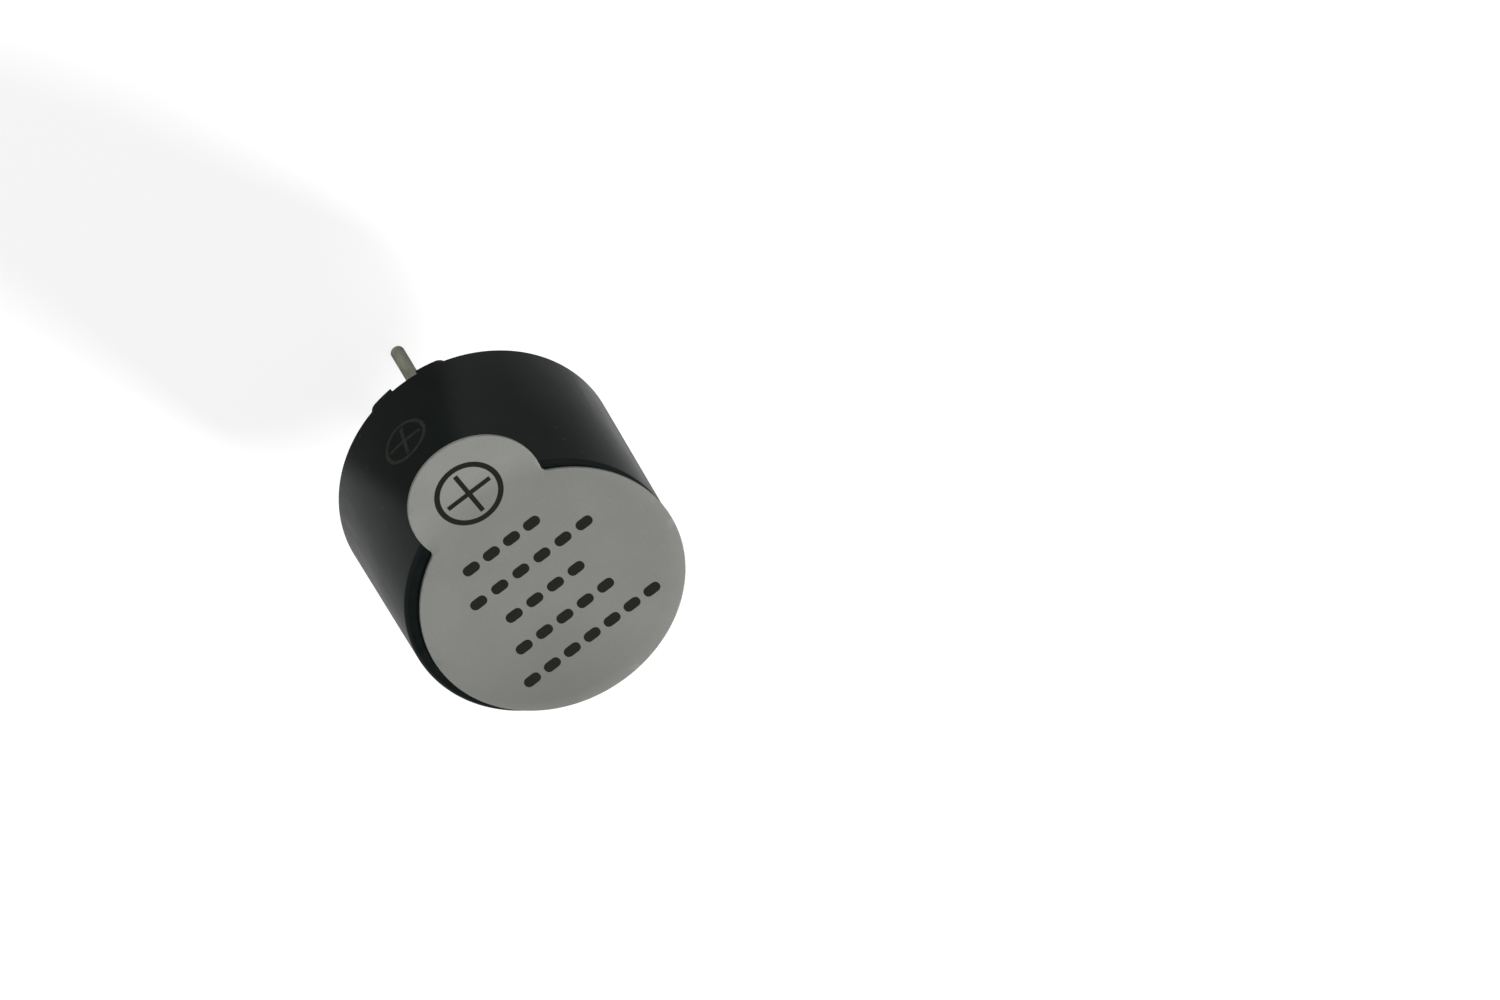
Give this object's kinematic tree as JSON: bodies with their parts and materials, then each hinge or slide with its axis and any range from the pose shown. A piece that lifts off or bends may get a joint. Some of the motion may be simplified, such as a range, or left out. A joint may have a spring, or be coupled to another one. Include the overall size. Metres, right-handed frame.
{
  "type": "magnetic buzzer",
  "caption": "Round through-hole magnetic buzzer: moulded case with drive coil, diaphragm and small driver board inside, potted underside, two wire pins and a peel-off wash seal.",
  "frame": {"origin": "middle of the case's axis, at the plane where its feet rest on the circuit board", "axes": "+Z along the case's axis out of the front face and its seal, pins down in -Z, +X towards the positive pin"},
  "size_m": [0.0143, 0.012, 0.0149],
  "materials": {
    "case_plastic": "satin black moulded plastic",
    "seal_film": "grey-white printed film, semi-gloss",
    "diaphragm_steel": "rolled spring iron",
    "weight_steel": "stamped steel",
    "ring_alloy": "turned aluminium",
    "magnet_ferrite": "sintered ferrite, dark grey",
    "yoke_iron": "stamped iron, zinc plated",
    "core_iron": "turned iron",
    "sleeve_film": "amber insulating film",
    "washer_paper": "insulating paper",
    "drive_wire": "enamelled copper wire",
    "feedback_wire": "enamelled copper wire",
    "board_laminate": "glass-epoxy laminate with solder mask",
    "board_copper": "bare copper",
    "transistor_mould": "black moulding compound",
    "tinned_leads": "tin-plated alloy",
    "resistor_glaze": "black glaze on ceramic",
    "tinned_caps": "tin-plated terminal",
    "solder": "solder",
    "pin_wire": "dull tinned wire",
    "potting_resin": "glossy black epoxy resin"
  },
  "bodies": {
    "root": {"case": "case_plastic", "seal_label": "seal_film", "diaphragm": "diaphragm_steel", "diaphragm_weight": "weight_steel", "support_ring": "ring_alloy", "magnet_ring": "magnet_ferrite", "yoke_plate": "yoke_iron", "pole_core": "core_iron", "core_sleeve": "sleeve_film", "coil_washer": "washer_paper", "drive_winding": "drive_wire", "feedback_winding": "feedback_wire", "circuit_board": "board_laminate", "board_tracks": "board_copper", "transistor_body": "transistor_mould", "transistor_leads": "tinned_leads", "resistor_body": "resistor_glaze", "resistor_caps": "tinned_caps", "component_solder": "solder", "winding_solder": "solder", "positive_pin": "pin_wire", "negative_pin": "pin_wire", "positive_pin_solder": "solder", "negative_pin_solder": "solder", "potting": "potting_resin"}
  },
  "joints": []
}
